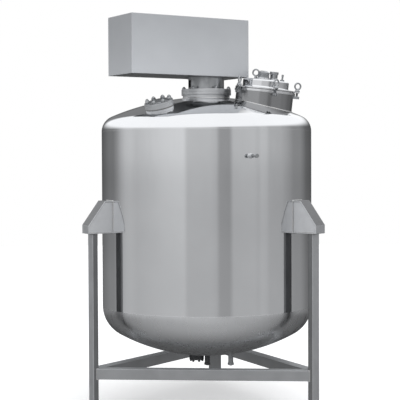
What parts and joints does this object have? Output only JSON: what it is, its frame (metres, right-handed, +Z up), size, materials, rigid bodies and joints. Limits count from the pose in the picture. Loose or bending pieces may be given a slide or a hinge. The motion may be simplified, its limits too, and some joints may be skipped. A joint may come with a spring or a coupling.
{
  "type": "vertical stirred process vessel on a leg frame",
  "caption": "Upright stainless process tank with dished ends, hung by lugs on a three-legged frame, with a drive cover, manway and hand-hole on top.",
  "frame": {"origin": "on the floor under the middle of the object's bounding box; the vessel's axis is parallel to Z, 72 mm in front of it", "axes": "+Z up along the vessel, -Y towards the front rail, +X to the right seen from the front, where the manway is"},
  "size_m": [1.4466, 1.4644, 2.341],
  "materials": {
    "polished_steel": "polished",
    "brushed_steel": "satin",
    "satin_sheet": "satin",
    "machined_steel": "satin",
    "rubber_seal": "matte",
    "sight_pane": "clear"
  },
  "bodies": {
    "root": {"shell": "polished_steel", "top_head": "polished_steel", "bottom_head": "polished_steel", "left_lug": "brushed_steel", "right_lug": "brushed_steel", "rear_lug": "brushed_steel", "left_leg": "brushed_steel", "right_leg": "brushed_steel", "rear_leg": "brushed_steel", "left_foot": "brushed_steel", "right_foot": "brushed_steel", "rear_foot": "brushed_steel", "front_rail": "brushed_steel", "left_rail": "brushed_steel", "right_rail": "brushed_steel", "drive_pad": "brushed_steel", "drive_flange": "machined_steel", "pedestal_flange": "machined_steel", "drive_pedestal": "machined_steel", "drive_base_plate": "machined_steel", "drive_cover": "satin_sheet", "hand_hole_pad": "brushed_steel", "hand_hole_cover": "brushed_steel", "manway_neck": "polished_steel", "manway_rim": "polished_steel", "manway_lid": "polished_steel", "swing_bolt_1": "machined_steel", "swing_bolt_2": "machined_steel", "swing_bolt_3": "machined_steel", "swing_bolt_4": "machined_steel", "hinge_post": "machined_steel", "lid_arm": "machined_steel", "lamp_base": "brushed_steel", "lamp": "machined_steel", "sight_glass_base": "brushed_steel", "sight_glass": "machined_steel", "vent": "machined_steel", "lid_eye": "machined_steel", "probe_boss": "brushed_steel", "probe_head": "machined_steel", "drain_pad": "brushed_steel", "drain_cover": "machined_steel", "middle_outlet": "brushed_steel", "middle_outlet_cap": "machined_steel", "side_outlet": "brushed_steel", "side_outlet_cap": "machined_steel", "shaft_seal": "brushed_steel", "drive_shaft": "brushed_steel", "manway_gasket": "rubber_seal", "sight_pane": "sight_pane"}
  },
  "joints": []
}
